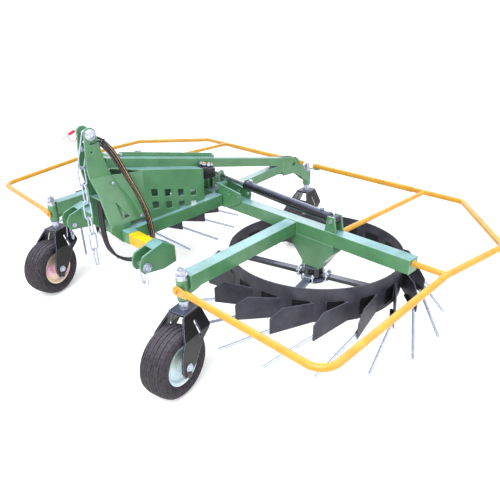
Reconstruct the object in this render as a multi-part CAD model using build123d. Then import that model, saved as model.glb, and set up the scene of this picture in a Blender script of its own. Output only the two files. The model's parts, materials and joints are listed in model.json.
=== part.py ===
from build123d import *
from math import atan2, cos, degrees, hypot, pi, radians, sin, sqrt, tan
import os

os.makedirs("parts", exist_ok=True)

# Sizes, in mm.
# Lengths are measured from the hitch line: y = 0 at the lower link pins, +y the way the rake works, away from
# the headstock, and +x to the right. Heights are measured from a level 640 below the lower link pins. The
# ground lies a little above that level, and every part is saved with its height above the ground.

ground = 78

tube = 75            # square tube of arms and frame
wall = 5
top_tube = 60        # square tube along the top of the frame

pin_half_span = 412.5    # lower link pins of a category 2 linkage
pin_z = 640
top_pin_z = 1262
link_pin_d = 28
top_pin_d = 25

hinge_x = 80         # arm hinge axis, along y
hinge_z = 797
arm_y = 845          # middle of the main arm
arm_top = 747
arm_in = 142
arm_out = 1472
plate = 10           # plates of hinges, lugs and brackets

rotor_x = 874
ring_r = 490
ring_top = 618
ring_low = 430
band = 5
paddles = 18
paddle_out = ring_r + 123
paddle_lag = 20      # degrees from a paddle's fold to its free corner
paddle_low = ring_low - 28
paddle_turn = 9.2    # degrees from the arm's line to the first paddle's fold
tine_d = 16
tine_out = ring_r + 248
tine_z = 292
tine_lag = 19        # degrees from a paddle's corner to the tine's tip
spokes = 4
spoke = 40

castor_x = 728
castor_y = 21
castor_arm_top = 692
front_y = 1810
sleeve_d = 62
spindle_d = 36
sleeve_low = 566
sleeve_top = 674
spindle_top = 724
crown_z = 500        # underside of the fork's crown plate
crown_t = 14
trail = 112
wheel_r = 183
wheel_w = 155
rim_r = 101
leg = 8
leg_gap = 12         # from tyre to fork leg
axle_d = 20
axle_z = ground + wheel_r

guard_d = 34
guard_low = 622
guard_high = 720
guard_out = 1600
guard_far = 1700
guard_front_y = 1826

arm_low = arm_top - tube

cyl_in_x = 58        # pin of a cylinder on the frame
cyl_in_z = 866
cyl_out_x = 1000     # pin of a cylinder on its arm
cyl_out_z = 812
barrel_d = 56
rod_d = 30
cyl_pin_d = 22
fold = 80            # degrees

top_rear = (60, 1124)      # the top tube's upper edge, y and z
top_front = (1500, 840)
eye_y = 1617         # round eye through the front head
eye_z = 768
eye_r = 17


parts = {}


# Helpers.
def box(x0, x1, y0, y1, z0, z1):
    return Pos((x0 + x1) / 2, (y0 + y1) / 2, (z0 + z1) / 2) * Box(x1 - x0, y1 - y0, z1 - z0)


def rod(a, b, d):
    a, b = Vector(*a), Vector(*b)
    run = b - a
    return Plane(origin=a, z_dir=run) * Cylinder(
        d / 2, run.length, align=(Align.CENTER, Align.CENTER, Align.MIN))


def side_plate(x0, x1, points):
    face = Plane.YZ.offset(x0) * make_face(Polyline(*points, close=True))
    return extrude(face, amount=x1 - x0)


def front_plate(y0, y1, points):
    face = Plane.XZ.offset(-y0) * make_face(Polyline(*points, close=True))
    return extrude(face, amount=-(y1 - y0))


def pipe(points, radii, d, bore=0):
    path = FilletPolyline(*points, radius=radii)
    start = Plane(origin=path @ 0, z_dir=path % 0)
    solid = sweep(start * Circle(d / 2), path=path)
    if bore:
        solid -= sweep(start * Circle(bore / 2), path=path)
    return solid


def soft_pipe(points, d, label):
    pts = [Vector(*p) for p in points]
    runs = [(b - a).length for a, b in zip(pts, pts[1:])]
    radii = []
    for k in range(1, len(pts) - 1):
        turn = radians((pts[k] - pts[k - 1]).get_angle(pts[k + 1] - pts[k]))
        radii.append(0.45 * min(runs[k - 1], runs[k]) / tan(turn / 2))
    path = FilletPolyline(*points, radius=radii)
    solid = sweep(Plane(origin=path @ 0, z_dir=path % 0) * Circle(d / 2), path=path)
    print(label, "length", round(path.length), "radii", [round(r) for r in radii],
          "volume ratio", round(solid.volume / (path.length * pi * d * d / 4), 4))
    return solid


def hex_head(at, direction, across, height):
    prism = extrude(RegularPolygon(across / 2, 6, major_radius=False), amount=height)
    return Plane(origin=Vector(*at), z_dir=Vector(*direction)) * prism


def keep(name, *solids):
    parts[name] = [kid for solid in solids for kid in solid.solids()]


def save(name, middle_y):
    whole = Compound(children=[kid.moved(Location((0, -middle_y, -ground))) for kid in parts[name]])
    whole.label = name
    export_step(whole, "parts/" + name + ".step")
    print(name, len(parts[name]), "solids", round(whole.volume / 1e3), "cm3")


def flip(solid):
    return mirror(solid, about=Plane.YZ)


def top_z(y):
    (y0, z0), (y1, z1) = top_rear, top_front
    return z0 + (z1 - z0) * (y - y0) / (y1 - y0)


def low_z(y):
    (y0, z0), (y1, z1) = top_rear, top_front
    return z0 - top_tube + (z1 - z0) * (y - y0 - 12) / (y1 - y0 - 12)


# Headstock.
mast_out = 45
mast_t = 12
mast_in = mast_out - mast_t
mast_bend = 1030                   # below this the plates lean outwards
foot_out = 112                     # outer faces of the mast's feet
foot_z = 760
lower_z0, lower_z1 = 685, 760      # lower frame tubes at their front ends
tube_drop = 34                     # and this much lower at the beam
lower_in, lower_out = 65, 140
beam = 60                          # square tube across the headstock
beam_y0, beam_z0 = 66, 667
beam_y1, beam_z1 = beam_y0 + beam, beam_z0 + beam
clevis_in = 32                     # half the room for a link's ball
clevis_face = pin_half_span + clevis_in
rest_z = 900                       # underside of the plate that holds the hoses' lower ends


def skirt_in(z):
    return mast_in + (foot_out - mast_out) * (mast_bend - z) / (mast_bend - foot_z)


lean = Vector(foot_out - mast_out, 0, foot_z - mast_bend)
leaning = Plane(origin=(mast_in, 0, mast_bend), x_dir=(0, 1, 0), z_dir=Vector(0, 1, 0).cross(lean.normalized()))
cheek = side_plate(mast_in, mast_out, [
    (-32, top_pin_z), (-30, top_pin_z + 21), (-12, top_pin_z + 35), (12, top_pin_z + 35), (30, top_pin_z + 21),
    (58, 1126), (72, 1080), (86, mast_bend), (-39, mast_bend), (-47, 1090), (-42, top_pin_z - 101)])
for y, z, d in ((0, top_pin_z, top_pin_d + 0.1), (-2, top_pin_z - 48, 16), (-6, top_pin_z - 92, 16)):
    cheek -= rod((mast_in - 5, y, z), (mast_out + 5, y, z), d)
skirt = make_face(Polyline(
    (-39, 0), (-15, 84.5), (4, 259.7), (10, lean.length), (225, lean.length), (150, 130), (86, 0), close=True))
skirt -= make_face(Polyline((68, 148), (134, 250), (83, 260.7), close=True))
skirt = extrude(leaning * skirt, amount=-mast_t)
foot = side_plate(foot_out - mast_t, foot_out, [
    (10, foot_z), (1, 724), (44, 678), (66, 652), (150, 652), (225, 690), (225, foot_z)])
foot -= box(0, 400, beam_y0, beam_y1, beam_z0, beam_z1)
foot -= box(0, 400, beam_y1, 400, 600, lower_z1)
mast = Part()
for half_mast in (cheek, skirt, foot):
    mast += half_mast + flip(half_mast)
for y, z_high, z_low in ((70, mast_bend + 10, rest_z + 6), (100, 880, foot_z + 2)):
    bend = min(z_high, mast_bend)
    half_plate = [(0, z_high), (skirt_in(bend), z_high), (skirt_in(bend), bend - 1), (skirt_in(z_low), z_low), (0, z_low)]
    web = front_plate(y, y + 8, half_plate)
    mast += web + flip(web)
mast += box(-skirt_in(rest_z + 3), skirt_in(rest_z + 3), -2, 78, rest_z, rest_z + 6)

beam_end = clevis_face
cross = box(-beam_end, beam_end, beam_y0, beam_y1, beam_z0, beam_z1)
cross -= box(-beam_end - 1, beam_end + 1, beam_y0 + wall, beam_y1 - wall, beam_z0 + wall, beam_z1 - wall)
collar = box(130, 184, beam_y0 - 4, beam_y1, beam_z0 - 4, beam_z1 + 4)
collar -= box(129, 185, beam_y0, beam_y1 + 1, beam_z0, beam_z1)
cross += collar + flip(collar)

# The outer plate of a clevis is whole, and the beam runs through the inner one.
clevis_outline = [
    (-21, 610), (-34, 628), (-38, 650), (-34, 678), (-17, 706), (47, 728), (110, 749), (181, 707), (183, 614),
    (102, 597)]
clevis = Part()
for x0, notched in ((clevis_face, False), (pin_half_span - clevis_in - plate, True)):
    lug = side_plate(x0, x0 + plate, clevis_outline)
    if notched:
        lug -= box(x0 - 1, x0 + plate + 1, beam_y0, beam_y1, beam_z0, beam_z1)
    lug -= rod((x0 - 5, 0, pin_z), (x0 + plate + 5, 0, pin_z), link_pin_d + 0.1)
    clevis += lug
room = (pin_half_span - clevis_in, clevis_face)
clevis += side_plate(*room, [(47, 722), (66, 727), (110, 743), (181, 701), (181, 707), (110, 749), (47, 728)])
clevis += box(*room, 148, 156, 620, 719)
clevises = clevis + flip(clevis)

pins = Part()
for side in (-1, 1):
    inner = side * (pin_half_span - clevis_in - plate - 14)
    outer = side * (clevis_face + plate + 6)
    pins += rod((inner, 0, pin_z), (outer, 0, pin_z), link_pin_d)
    pins += rod((side * (clevis_face + plate), 0, pin_z), (outer, 0, pin_z), 52)

top_pin = rod((-mast_out - 34, 0, top_pin_z), (mast_out + 8, 0, top_pin_z), top_pin_d)
top_pin += rod((mast_out, 0, top_pin_z), (mast_out + 8, 0, top_pin_z), 44)

# Frame.
frame_end = arm_y - tube / 2 - plate - 12


def tube_top(y):
    return lower_z1 - tube_drop * (frame_end - y) / (frame_end - beam_y1)


def lower_tube(inset, y0, y1):
    return side_plate(lower_in + inset, lower_out - inset, [
        (y0, tube_top(y0) - tube + inset), (y1, tube_top(y1) - tube + inset), (y1, tube_top(y1) - inset),
        (y0, tube_top(y0) - inset)])


run = lower_tube(0, beam_y1, frame_end) - lower_tube(wall, beam_y1 - 1, frame_end - wall)
tubes = run + flip(run)

# A side panel is bent in at the back, where it is welded to the mast's skirt.
panel_x = 112
panel_t = 6
panel_y0, panel_y1 = 240, 668
flange_drop = 50                   # from the top tube's upper edge to the panel's top flange
slope = degrees(atan2(top_front[1] - top_rear[1], top_front[0] - top_rear[0]))
flange_face = Plane(origin=(0, 0, top_z(0) - flange_drop), x_dir=(1, 0, 0),
                    z_dir=(0, -sin(radians(slope)), cos(radians(slope))))
under = flange_drop + panel_t / cos(radians(slope))
sheet = side_plate(panel_x - panel_t, panel_x, [
    (panel_y0, tube_top(panel_y0)), (panel_y1, tube_top(panel_y1)), (panel_y1, top_z(panel_y1) - under),
    (panel_y0, top_z(panel_y0) - under)])
for row in range(2):
    for col in range(4):
        y, z = 284 + 92 * col, 914 - 22 * col - 76 * row
        sheet -= side_plate(panel_x - panel_t - 1, panel_x + 1, [
            (y, z - 44), (y + 46, z - 50), (y + 46, z - 8), (y, z)])
bent = loft([
    make_face(Polyline((mast_out, 88.9, 1028), (mast_out - panel_t, 88.9, 1028), (foot_out - panel_t, 227, foot_z + 1),
                       (foot_out, 227, foot_z + 1), close=True)),
    make_face(Polyline((panel_x, panel_y0, top_z(panel_y0) - under), (panel_x - panel_t, panel_y0, top_z(panel_y0) - under),
                       (panel_x - panel_t, panel_y0, tube_top(panel_y0)), (panel_x, panel_y0, tube_top(panel_y0)),
                       close=True))], ruled=True)
stretch = 1 / cos(radians(slope))
x_in = top_tube / 2 + 0.5
flange = extrude(flange_face * make_face(Polyline(
    (x_in, 92 * stretch), (mast_out, 92 * stretch), (panel_x, panel_y0 * stretch), (panel_x, panel_y1 * stretch),
    (x_in, panel_y1 * stretch), close=True)), amount=-panel_t)
panel = sheet + bent + flange
panels = panel + flip(panel)

half = top_tube / 2
(y0, z0), (y1, z1) = top_rear, top_front
spine = side_plate(-half, half, [(y0, z0), (y1, z1), (y1, z1 - top_tube), (y0 + 12, z0 - top_tube)])
spine -= side_plate(-half + wall, half - wall, [
    (y0 - 5, z0 - wall), (y1 - 20, z1 - wall + 4), (y1 - 20, z1 - top_tube + wall + 4),
    (y0 - 5, z0 - top_tube + wall)])
spine -= box(-half - 1, half + 1, 0, 78, 900, 1200)
lock_bar = side_plate(-half - 8, -half, [
    (190, top_z(190) - 14), (870, top_z(870) - 14), (880, top_z(880) + 6), (860, top_z(860) + 26),
    (200, top_z(200) + 26), (180, top_z(180) + 6)])
brace_y0 = arm_y + tube / 2 + plate + 4
brace_end = 1440
brace = side_plate(-half, half, [
    (brace_y0, lower_z0 - 8), (brace_y0, lower_z1 - 22), (brace_end, low_z(brace_end) - 1), (1500, low_z(1500) - 1),
    (1500, low_z(1500) - 48)])
spine_front = Part()
spine_front += spine
spine_front += brace
spine_front += lock_bar

head_outline = [
    (1500, 842), (eye_y + 20, 824), (eye_y + 52, 800), (eye_y + 74, 760), (front_y - 20, sleeve_top - 6),
    (front_y - 6, sleeve_top - 6), (front_y - 6, sleeve_low + 20), (front_y - 60, 618), (front_y - 100, 652),
    (front_y - 150, 682), (front_y - 210, 700), (1500, 702)]
head = Part()
for x0 in (-half, half - plate):
    cheek = side_plate(x0, x0 + plate, head_outline)
    cheek -= rod((x0 - 5, eye_y, eye_z), (x0 + plate + 5, eye_y, eye_z), 2 * eye_r)
    head += cheek
front_sleeve = rod((0, front_y, sleeve_low), (0, front_y, sleeve_top), sleeve_d)
head -= rod((0, front_y, 500), (0, front_y, 900), sleeve_d)
head += front_sleeve
head -= rod((0, front_y, 400), (0, front_y, 900), spindle_d + 0.1)
head += box(-half + plate, half - plate, 1500, 1512, 710, 815)

# The hinge head carries both arms and the inner eyes of both cylinders.
lug_half = tube / 2 - 2
hinge_head = box(-arm_in + 6, arm_in - 6, arm_y - lug_half, arm_y + lug_half, 668, 752)
hinge_head -= box(-arm_in, arm_in, arm_y - lug_half + wall, arm_y + lug_half - wall, 673, 747)
for side in (-1, 1):
    hinge_head += box(*sorted((side * (hinge_x - 24), side * (hinge_x + 24))),
                      arm_y - lug_half, arm_y + lug_half, 752, hinge_z)
    hinge_head += rod((side * hinge_x, arm_y - lug_half, hinge_z),
                      (side * hinge_x, arm_y + lug_half, hinge_z), 52)
for y in (arm_y - 25, arm_y + 15):
    ear = front_plate(y, y + plate, [
        (36, 752), (36, cyl_in_z + 6), (46, cyl_in_z + 24), (70, cyl_in_z + 24), (80, cyl_in_z + 6), (84, 800),
        (84, 752)])
    ear -= rod((cyl_in_x, y - 5, cyl_in_z), (cyl_in_x, y + plate + 5, cyl_in_z), cyl_pin_d + 0.04)
    hinge_head += ear + flip(ear)
for side in (-1, 1):
    hinge_head -= rod((side * hinge_x, arm_y - 80, hinge_z), (side * hinge_x, arm_y + 80, hinge_z), 25.06)
inner_pins = Part()
for side in (-1, 1):
    for end in (-1, 1):
        inner_pins += rod((side * cyl_in_x, arm_y + end * 15, cyl_in_z), (side * cyl_in_x, arm_y + end * 33, cyl_in_z),
                          cyl_pin_d)
hinge_head += box(-lower_out, lower_out, frame_end, frame_end + 6, lower_z0, lower_z1)
hinge_head += box(-hinge_x + 40, hinge_x - 40, frame_end + 6, arm_y - lug_half, 690, 752)
hinge_head += box(-half, half, arm_y + lug_half, brace_y0, 690, 752)

hinge_pins = Part()
for side in (-1, 1):
    x = side * hinge_x
    hinge_pins += rod((x, arm_y - tube / 2 - plate - 8, hinge_z), (x, arm_y + tube / 2 + plate + 8, hinge_z), 25)
    hinge_pins += hex_head((x, arm_y - tube / 2 - plate, hinge_z), (0, -1, 0), 38, 14)
    hinge_pins += hex_head((x, arm_y + tube / 2 + plate, hinge_z), (0, 1, 0), 38, 14)

# Arm, right hand.
y0, y1 = arm_y - tube / 2, arm_y + tube / 2
arm = box(arm_in, arm_out, y0, y1, arm_low, arm_top)
arm -= box(arm_in - 1, arm_out - wall, y0 + wall, y1 - wall, arm_low + wall, arm_top - wall)
half = tube / 2
castor_arm_low = castor_arm_top - tube
sleeve_edge = castor_y + sleeve_d / 2 - 6
castor_arm = side_plate(castor_x - half, castor_x + half, [
    (y0, arm_top - 2), (y0, arm_low - 2), (sleeve_edge, castor_arm_low), (sleeve_edge, castor_arm_top)])
castor_arm -= side_plate(castor_x - half + wall, castor_x + half - wall, [
    (y0 + 1, arm_top - 2 - wall), (y0 + 1, arm_low - 2 + wall), (sleeve_edge + 30, castor_arm_low + wall),
    (sleeve_edge + 30, castor_arm_top - wall)])
arm += castor_arm
arm += side_plate(castor_x - 5, castor_x + 5, [
    (sleeve_edge, castor_arm_low), (sleeve_edge, 572), (110, 588), (170, castor_arm_low)])
sleeve = rod((castor_x, castor_y, sleeve_low), (castor_x, castor_y, sleeve_top), sleeve_d)
arm -= rod((castor_x, castor_y, 500), (castor_x, castor_y, 800), sleeve_d)
arm += sleeve
arm -= rod((castor_x, castor_y, 400), (castor_x, castor_y, 900), spindle_d + 0.1)

arm_plates = Part()
for y in (y0 - plate, y1):
    cheek = front_plate(y, y + plate, [
        (hinge_x - 30, hinge_z - 18), (hinge_x - 30, hinge_z + 16), (hinge_x - 16, hinge_z + 30),
        (hinge_x + 12, hinge_z + 30), (300, 800), (312, 780), (300, arm_top - 8), (arm_in + 40, arm_low + 6),
        (arm_in, arm_low + 6), (hinge_x + 8, hinge_z - 32), (hinge_x - 14, hinge_z - 32)])
    cheek -= rod((hinge_x, y - 5, hinge_z), (hinge_x, y + plate + 5, hinge_z), 25.1)
    for x in (200, 285):
        cheek -= rod((x, y - 5, 782), (x, y + plate + 5, 782), 16)
    arm_plates += cheek
for y in (arm_y - 36, arm_y + 36 - plate):
    lug = front_plate(y, y + plate, [
        (cyl_out_x - 40, arm_top), (cyl_out_x - 24, cyl_out_z + 24), (cyl_out_x + 20, cyl_out_z + 24),
        (cyl_out_x + 36, arm_top)])
    lug -= rod((cyl_out_x, y - 5, cyl_out_z), (cyl_out_x, y + plate + 5, cyl_out_z), cyl_pin_d + 0.04)
    arm_plates += lug

hub_outline = [
    (rotor_x - 150, arm_low), (rotor_x - 150, arm_low - 50), (rotor_x - 60, 520), (rotor_x - 60, 500),
    (rotor_x + 60, 500), (rotor_x + 60, 520), (rotor_x + 150, arm_low - 50), (rotor_x + 150, arm_low)]
bracket = Part()
for y in (y0, y1 - plate):
    bracket += front_plate(y, y + plate, hub_outline)
bracket += box(rotor_x - 60, rotor_x + 60, y0 + plate, y1 - plate, 500, 510)
for side in (-1, 1):
    web = front_plate(y0 + plate, y1 - plate, [
        (rotor_x - 150, arm_low), (rotor_x - 150, arm_low - 50), (rotor_x - 60, 520), (rotor_x - 60, 510),
        (rotor_x - 52, 510), (rotor_x - 52, 524), (rotor_x - 142, arm_low - 46), (rotor_x - 142, arm_low)])
    bracket += web if side < 0 else Pos(2 * rotor_x, 0, 0) * flip(web)
stub_d = 40
bracket += rod((rotor_x, arm_y, 420), (rotor_x, arm_y, 500), stub_d)

cylinder_pins = rod((cyl_out_x, arm_y - 44, cyl_out_z), (cyl_out_x, arm_y + 44, cyl_out_z), cyl_pin_d)

# Guard rail, right hand.
corner = (guard_far, 1330, guard_high)
side_t = (guard_out + 38, arm_y, guard_high)
strap_y = castor_y - sleeve_d / 2      # the rail's flattened end lies on the sleeve's rear face
guard = pipe(
    [(castor_x + 56, strap_y + 6, guard_low), (guard_out, castor_y - 10, guard_low), side_t,
     corner, (1262, guard_front_y, guard_high), (92, guard_front_y, guard_high)],
    [90, 60, 60, 60], guard_d, guard_d - 8)
guard += rod((arm_out, arm_y, guard_high), (side_t[0] - 4, arm_y, guard_high), 30)
guard += rod((1000, arm_y + tube / 2, guard_high), (1000, guard_front_y, guard_high), 30)
guard += front_plate(strap_y - 8, strap_y, [
    (castor_x - 34, 606), (castor_x - 26, 634), (castor_x + 2, 648), (castor_x + 34, 646), (castor_x + 74, guard_low + 17),
    (castor_x + 74, guard_low - 17), (castor_x + 20, 596), (castor_x - 24, 594)])
guard -= rod((castor_x, castor_y, 500), (castor_x, castor_y, 800), sleeve_d)
guard += hex_head((castor_x - 4, strap_y - 8, 620), (0, -1, 0), 24, 10)

# Rotor, right hand.
hub = rod((rotor_x, arm_y, 426), (rotor_x, arm_y, 494), 110)
hub += rod((rotor_x, arm_y, 412), (rotor_x, arm_y, 426), 150)
hub -= rod((rotor_x, arm_y, 400), (rotor_x, arm_y, 500), stub_d + 0.1)
hub += rod((rotor_x, arm_y, 404), (rotor_x, arm_y, 412), 80)
spider = Part()
for k in range(spokes):
    turn = Pos(rotor_x, arm_y, 0) * Rot(0, 0, 16 + 360 / spokes * k)
    channel = box(50, ring_r, -spoke / 2, spoke / 2, ring_low, ring_low + 22)
    channel -= box(49, ring_r + 1, -spoke / 2 + 5, spoke / 2 - 5, ring_low - 1, ring_low + 17)
    spider += turn * channel
    spider += turn * box(ring_r - band - 10, ring_r, -45, 45, ring_low + 8, ring_low + 70)
spider -= rod((rotor_x, arm_y, 400), (rotor_x, arm_y, 500), 110)
spider &= rod((rotor_x, arm_y, ring_low - 30), (rotor_x, arm_y, ring_low + 90), 2 * (ring_r - band))
hub += spider

drum = Cylinder(ring_r, ring_top - ring_low) - Cylinder(ring_r - band, ring_top - ring_low + 2)
drum = Pos(rotor_x, arm_y, (ring_top + ring_low) / 2) * drum
fold_r = ring_r - 0.5
corner_x = paddle_out * cos(radians(-paddle_lag)) - fold_r
corner_y = paddle_out * sin(radians(-paddle_lag))
paddle_len = hypot(corner_x, corner_y)
paddle_dir = degrees(atan2(corner_y, corner_x))
blade = side_plate(0, 5, [
    (0, ring_low), (0, ring_low + 110), (paddle_len * 0.72, ring_low + 110),
    (paddle_len, ring_low + 60), (paddle_len, paddle_low)])
blade = Rot(0, 0, -90) * blade
slot = box(fold_r - 20, fold_r + 20, -110, -22, ring_low + 20, ring_low + 118)
openings = Part()
blades = Part()
for k in range(paddles):
    turn = Pos(rotor_x, arm_y, 0) * Rot(0, 0, paddle_turn + 360 / paddles * k)
    openings += turn * slot
    blades += turn * Pos(fold_r, 0, 0) * Rot(0, 0, paddle_dir) * blade
drum -= openings
reel = drum + blades

back = Vector(cos(radians(paddle_dir)), sin(radians(paddle_dir)), 0)
root = Vector(fold_r, 0, paddle_low + 30)
side_step = Vector(-back.Y, back.X, 0) * -(tine_d / 2 + 5.3)
p1 = root + back * (paddle_len * 0.45) + side_step
p2 = root + back * (paddle_len - 12) + side_step - Vector(0, 0, 14)
tip_a = radians(-paddle_lag - tine_lag)
p3 = Vector(tine_out * cos(tip_a), tine_out * sin(tip_a), tine_z)
tine = pipe([tuple(p1), tuple(p2), tuple(p3)], [60], tine_d)
tines = []
for k in range(paddles):
    turn = Pos(rotor_x, arm_y, 0) * Rot(0, 0, paddle_turn + 360 / paddles * k)
    tines.append(turn * tine)


# Castors and wheels. A castor's place, and the degrees that it stands turned in the photograph.
castors = (("right", castor_x, castor_y, 14), ("left", -castor_x, castor_y, 22), ("front", 0, front_y, 8))
leg_x = wheel_w / 2 + leg_gap
neck_x = 42
crown_half = 62
splay_z = 402        # a leg leans out from the crown down to here

leg_outline = [
    (crown_half, crown_z + crown_t), (76, 412), (58, 388), (18, 361), (-22, 300), (-56, 250), (-trail + 10, 212),
    (-trail - 30, 208), (-trail - 48, 250), (-trail - 46, 300), (-144, 366), (-110, 440),
    (-crown_half, crown_z + crown_t)]


def castor_fork():
    crown = box(-neck_x - leg, neck_x + leg, -crown_half, crown_half, crown_z, crown_z + crown_t)
    shape = [
        (neck_x, crown_z), (neck_x + leg, crown_z + 6), (leg_x + leg, splay_z + 4), (leg_x + leg, 100),
        (leg_x, 100), (leg_x, splay_z)]
    side = side_plate(-leg_x - 20, leg_x + 20, leg_outline)
    legs = front_plate(-250, 150, shape) & side
    for y, z in ((-12, 462), (-9, 388)):
        legs -= rod((0, y, z), (120, y, z), 15)
    legs -= side_plate(0, 120, [(-19.5, 462), (-4.5, 462), (-1.5, 388), (-16.5, 388)])
    whole = crown + legs + flip(legs)
    whole += rod((0, 0, crown_z + crown_t), (0, 0, sleeve_low), 50)
    whole += rod((0, 0, crown_z + 4), (0, 0, spindle_top - 12), spindle_d)
    whole += rod((0, 0, sleeve_top), (0, 0, sleeve_top + 22), 52)
    whole += hex_head((0, 0, sleeve_top + 22), (0, 0, 1), 40, spindle_top - sleeve_top - 22)
    whole += rod((-leg_x - leg - 4, -trail, axle_z), (leg_x + leg + 4, -trail, axle_z), axle_d)
    for side in (-1, 1):
        whole += rod((side * (leg_x + leg), -trail, axle_z), (side * (leg_x + leg + 4), -trail, axle_z), 40)
        whole += hex_head((side * (leg_x + leg + 4), -trail, axle_z), (side, 0, 0), 26, 10)
        whole += rod((side * (leg_x - 8), -trail, axle_z), (side * leg_x, -trail, axle_z), 36)
    return whole


def on_axle(profile):
    face = make_face(Polyline(*profile, close=True))
    return Pos(0, -trail, axle_z) * revolve(face, axis=Axis.X)


# Half a tyre's section, x from the middle and radius, with the ribs of its tread.
w = wheel_w / 2
half_tyre = [
    (6, wheel_r), (10, wheel_r - 5), (14, wheel_r - 5), (18, wheel_r), (34, wheel_r - 1), (38, wheel_r - 6),
    (42, wheel_r - 7), (46, wheel_r - 3), (w * 0.80, wheel_r - 8), (w * 0.95, wheel_r - 20), (w, rim_r + 50),
    (w * 0.97, rim_r + 32), (w * 0.80, rim_r + 11), (w * 0.62, rim_r + 1), (w * 0.5, rim_r - 4)]
tyre_profile = half_tyre + [(-x, r) for x, r in reversed(half_tyre)]
bead = [(w * 0.5, rim_r - 4.5), (w * 0.62, rim_r + 0.4), (w * 0.78, rim_r + 9.2), (w * 0.82, rim_r + 8.5),
        (w * 0.80, rim_r + 1), (w * 0.74, rim_r - 7)]
disc = [(42, rim_r - 14), (44, 70), (51, 44), (52, 33), (leg_x - 10, 30), (leg_x - 10, axle_d / 2 + 0.05)]
half_rim = bead + disc
rim_profile = half_rim + [(-x, r) for x, r in reversed(half_rim)]
fork = castor_fork()
tyre = on_axle(tyre_profile)
rim = on_axle(rim_profile)

# Cylinder, right hand.
cyl_len = hypot(cyl_out_x - cyl_in_x, cyl_out_z - cyl_in_z)
cyl_dir = Vector(cyl_in_x - cyl_out_x, 0, cyl_in_z - cyl_out_z).normalized()
cyl_end = Vector(cyl_out_x, arm_y, cyl_out_z)


def along(t):
    p = cyl_end + cyl_dir * t
    return (p.X, p.Y, p.Z)


barrel_len = 690
barrel = rod(along(30), along(barrel_len), barrel_d)
barrel -= rod(along(60), along(barrel_len + 1), rod_d + 0.1)
barrel += rod((cyl_out_x, arm_y - 24, cyl_out_z), (cyl_out_x, arm_y + 24, cyl_out_z), 44)
barrel += rod(along(20), along(34), 38)
barrel -= rod((cyl_out_x, arm_y - 60, cyl_out_z), (cyl_out_x, arm_y + 60, cyl_out_z), cyl_pin_d + 0.1)
piston = rod(along(cyl_len - 18), along(165), rod_d)
piston += rod((cyl_in_x, arm_y - 13, cyl_in_z), (cyl_in_x, arm_y + 13, cyl_in_z), 42)
# The eye keeps the middle of its pin, and the ears keep the two ends, because the eye drifts as the arm folds.
piston += rod((cyl_in_x, arm_y - 14.7, cyl_in_z), (cyl_in_x, arm_y + 14.7, cyl_in_z), cyl_pin_d)

# Chain, clip, valve and hoses.
link_d = 10
link_pitch = 96      # inner length of a link
link_w = 50
chain_play = 0.3
chain_x = -4
chain_y = -57        # the chain hangs clear of the mast's front edges
chain_links = 6
loop_low = (chain_y, 1090)


def chain_link(inner, width):
    half_run = (inner + 2 * link_d - width) / 2
    r = (width - link_d) / 2
    path = Wire([
        Line((-half_run, r), (half_run, r)), ThreePointArc((half_run, r), (half_run + r, 0), (half_run, -r)),
        Line((half_run, -r), (-half_run, -r)), ThreePointArc((-half_run, -r), (-half_run - r, 0), (-half_run, r))])
    return sweep(Plane(origin=(0, r, 0), z_dir=(1, 0, 0)) * Circle(link_d / 2), path=path)


# The first link is a long loop over the top pin, pulled aside by the mast's edges.
reach = Vector(0, loop_low[0], loop_low[1] - top_pin_z)
loop_inner = reach.length + top_pin_d / 2 + chain_play
loop_middle = Vector(chain_x, 0, top_pin_z) + reach.normalized() * (reach.length - loop_inner / 2)
loop = chain_link(loop_inner, top_pin_d + 2 * link_d + 2)
chain = [Plane(origin=loop_middle, x_dir=reach, z_dir=(1, 0, 0)) * loop]
link = chain_link(link_pitch, link_w)
for k in range(chain_links):
    z = loop_low[1] + chain_play - link_pitch / 2 - k * (link_pitch - chain_play)
    chain.append(Pos(chain_x, chain_y, z) * Rot(0, 0, 90 * (k % 2)) * Rot(0, 90, 0) * link)

clip_ends = ((-mast_out - 30, -40, top_pin_z + 14), (-mast_out - 30, 40, top_pin_z - 14))
clip = rod(*clip_ends, 7)
top_pin -= rod(*clip_ends, 7.4)

valve_x0, valve_x1 = top_tube / 2, 88
valve = side_plate(valve_x0, valve_x1, [
    (690, 872), (690, 946), (726, 946), (726, 938), (786, 930), (786, 872)])
for x in (46, 72):
    for y, z in ((708, 946), (744, 932), (770, 929)):
        valve += rod((x, y, z), (x, y, z + 16), 20)
# A hose's upper bend: the first hose's point, and how far each next hose's point lies from it.
hose_d = 14
hose_step = 20
upper_bend = [
    ((-19.5, 58.5, 1197), (4.5, 0, 17)), ((1.5, 60, 1197), (7.5, 0.5, 17)), ((22, 64, 1192), (10.5, 1, 16)),
    ((39.5, 69.5, 1182.5), (13.5, 1.5, 14.5)), ((54.5, 76.5, 1168), (15.5, 2.5, 12.5)),
    ((66, 85, 1149.5), (17.5, 4, 9.5)), ((76, 99, 1117), (18.5, 5, 6)), ((93, 127, 1052), (20, 3, 0))]
hanging = [
    (113, 159, 974), (134, 189, 886), (149, 212, 785), (155, 221, 690), (154.5, 219.5, 615.2),
    (133.7, 191.5, 554.8), (97.7, 143, 520), (56.3, 87, 520), (20.3, 38.5, 554.8), (-0.5, 10.5, 615.2),
    (-12, 6.5, 715), (-19, 9, 812), (-20, 18, rest_z - 0.8)]
soft_hoses = []
for k in range(3):
    route = [(x + k * dx, y + k * dy, z + k * dz) for (x, y, z), (dx, dy, dz) in upper_bend]
    route += [(x + k * hose_step, y, z) for x, y, z in hanging]
    soft_hoses.append(soft_pipe(route, hose_d, "hose"))

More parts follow.
